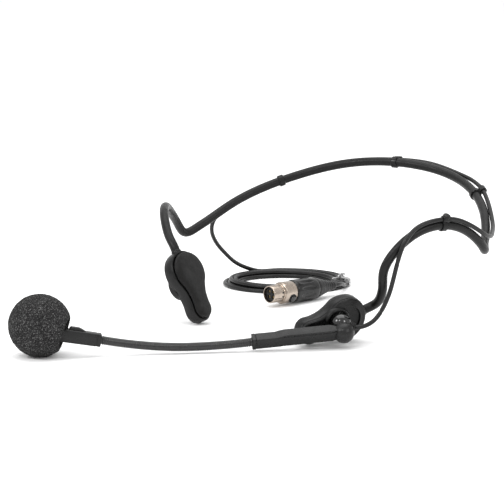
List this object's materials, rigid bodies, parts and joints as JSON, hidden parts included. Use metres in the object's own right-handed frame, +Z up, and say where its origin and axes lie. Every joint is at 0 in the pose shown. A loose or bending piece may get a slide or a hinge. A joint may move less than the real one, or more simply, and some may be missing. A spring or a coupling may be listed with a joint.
{
  "type": "headset microphone",
  "caption": "Behind-the-neck headset microphone with ear-hook band, swivelling temple pads, ball-jointed boom, gooseneck, foam windscreen and coiled cord with locking plug.",
  "frame": {"origin": "on the table, under the middle of the bounding box of everything but the free cord and its plug", "axes": "+Z up as it lies on the table; the wearer would face -Y; +X is the wearer's left, the side of the boom"},
  "size_m": [0.1538, 0.2211, 0.0623],
  "materials": {
    "sleeve_far": "satin black rubber",
    "spring_wire_far": "bright spring steel",
    "cable_clip_1": "satin black moulding",
    "lead_far": "semi-gloss black cable jacket",
    "cord_drop": "semi-gloss black cable jacket",
    "cord_coil": "semi-gloss black cable jacket",
    "cord_tail": "semi-gloss black cable jacket",
    "twist_tie": "clear silvery strip",
    "plug_nose": "warm satin nickel",
    "plug_ring": "warm satin nickel",
    "plug_insert": "black insulator",
    "plug_contact_1": "gold-plated contact",
    "plug_contact_2": "gold-plated contact",
    "plug_contact_3": "gold-plated contact",
    "plug_contact_4": "gold-plated contact",
    "plug_grip": "glossy black",
    "plug_clamp": "warm satin nickel",
    "plug_boot": "satin black rubber",
    "latch_spring": "bright spring steel",
    "far_pad_cover": "satin black moulding",
    "far_pad_shell": "satin black moulding",
    "far_snap_post": "satin black moulding",
    "far_pad_carrier": "satin black moulding",
    "far_pad_cushion": "soft matte black foam with a thin skin",
    "far_wire_ferrule": "satin black rubber",
    "far_socket_cap": "satin black moulding",
    "latch_button": "glossy black",
    "sleeve_near": "satin black rubber",
    "spring_wire_near": "bright spring steel",
    "cable_clip_2": "satin black moulding",
    "cable_clip_3": "satin black moulding",
    "cable_clip_4": "satin black moulding",
    "lead_near": "semi-gloss black cable jacket",
    "near_pad_cover": "satin black moulding",
    "near_pad_shell": "satin black moulding",
    "near_snap_post": "satin black moulding",
    "near_pad_carrier": "satin black moulding",
    "near_pad_cushion": "soft matte black foam with a thin skin",
    "near_wire_ferrule": "satin black rubber",
    "ball_socket_ring": "glossy black",
    "boom_ball": "glossy black",
    "ball_stud": "bright spring steel",
    "lead_gland": "satin black rubber",
    "lead_tail": "semi-gloss black cable jacket",
    "boom_arm": "satin dark grey moulding",
    "arm_cover": "satin dark grey moulding",
    "arm_collar": "satin dark grey moulding",
    "gooseneck_root": "satin black rubber",
    "gooseneck_middle": "satin black rubber",
    "gooseneck_tip": "satin black rubber",
    "mic_holder": "satin dark grey moulding",
    "holder_rib": "satin dark grey moulding",
    "capsule_housing": "satin black moulding",
    "mic_capsule": "warm satin nickel",
    "capsule_grille": "warm satin nickel",
    "windscreen": "open-cell charcoal foam"
  },
  "bodies": {
    "band_far": {"sleeve_far": "sleeve_far", "spring_wire_far": "spring_wire_far", "cable_clip_1": "cable_clip_1", "lead_far": "lead_far", "cord_drop": "cord_drop", "cord_coil": "cord_coil", "cord_tail": "cord_tail", "twist_tie": "twist_tie", "plug_nose": "plug_nose", "plug_ring": "plug_ring", "plug_insert": "plug_insert", "plug_contact_1": "plug_contact_1", "plug_contact_2": "plug_contact_2", "plug_contact_3": "plug_contact_3", "plug_contact_4": "plug_contact_4", "plug_grip": "plug_grip", "plug_clamp": "plug_clamp", "plug_boot": "plug_boot", "latch_spring": "latch_spring"},
    "far_pad": {"far_pad_cover": "far_pad_cover", "far_pad_shell": "far_pad_shell", "far_snap_post": "far_snap_post", "far_pad_carrier": "far_pad_carrier", "far_pad_cushion": "far_pad_cushion", "far_wire_ferrule": "far_wire_ferrule", "far_socket_cap": "far_socket_cap"},
    "latch": {"latch_button": "latch_button"},
    "band_near": {"sleeve_near": "sleeve_near", "spring_wire_near": "spring_wire_near", "cable_clip_2": "cable_clip_2", "cable_clip_3": "cable_clip_3", "cable_clip_4": "cable_clip_4", "lead_near": "lead_near"},
    "near_pad": {"near_pad_cover": "near_pad_cover", "near_pad_shell": "near_pad_shell", "near_snap_post": "near_snap_post", "near_pad_carrier": "near_pad_carrier", "near_pad_cushion": "near_pad_cushion", "near_wire_ferrule": "near_wire_ferrule", "ball_socket_ring": "ball_socket_ring"},
    "ball": {"boom_ball": "boom_ball", "ball_stud": "ball_stud", "lead_gland": "lead_gland", "lead_tail": "lead_tail"},
    "boom": {"boom_arm": "boom_arm", "arm_cover": "arm_cover", "arm_collar": "arm_collar", "gooseneck_root": "gooseneck_root"},
    "neck_middle": {"gooseneck_middle": "gooseneck_middle"},
    "neck_tip": {"gooseneck_tip": "gooseneck_tip", "mic_holder": "mic_holder", "holder_rib": "holder_rib", "capsule_housing": "capsule_housing", "mic_capsule": "mic_capsule", "capsule_grille": "capsule_grille"},
    "windscreen": {"windscreen": "windscreen"}
  },
  "joints": [
    {"name": "band_flex", "type": "hinge", "parent": "band_far", "child": "band_near", "pos_m": [-0.00028, 0.10508, 0.0593], "axis": [0, 0, 1], "range_deg": [0, 20], "stiffness_Nm_per_rad": 0.5},
    {"name": "far_pad_swivel", "type": "hinge", "parent": "band_far", "child": "far_pad", "pos_m": [-0.04912, -0.00343, 0.02948], "axis": [0.5504, -0.2001, -0.8106], "range_deg": [-20, 20]},
    {"name": "near_pad_swivel", "type": "hinge", "parent": "band_near", "child": "near_pad", "pos_m": [0.03911, -0.00034, 0.01271], "axis": [-0.6804, -0.6203, -0.3902], "range_deg": [-15, 15]},
    {"name": "boom_tilt", "type": "hinge", "parent": "near_pad", "child": "ball", "pos_m": [0.03685, -0.01549, 0.00951], "axis": [0.2725, -0.433, 0.8592], "range_deg": [0, 18]},
    {"name": "boom_swing", "type": "hinge", "parent": "ball", "child": "boom", "pos_m": [0.04018, -0.01903, 0.00667], "axis": [-0.5909, 0.6295, 0.5046], "range_deg": [-4, 90]},
    {"name": "gooseneck_bend_1", "type": "hinge", "parent": "boom", "child": "neck_middle", "pos_m": [-0.00441, -0.05426, 0.00285], "axis": [-0.0209, -0.0164, 0.9996], "range_deg": [-25, 25]},
    {"name": "gooseneck_bend_2", "type": "hinge", "parent": "neck_middle", "child": "neck_tip", "pos_m": [-0.02132, -0.06735, 0.00351], "axis": [0.0757, 0.0587, 0.9954], "range_deg": [-25, 25]},
    {"name": "windscreen_pull", "type": "slide", "parent": "neck_tip", "child": "windscreen", "axis": [-0.7829, -0.5999, 0.165], "range_m": [0, 0.025]},
    {"name": "latch_press", "type": "slide", "parent": "band_far", "child": "latch", "axis": [-0.8376, 0.2443, 0.4886], "range_m": [0, 0.0007], "stiffness_N_per_m": 300}
  ]
}
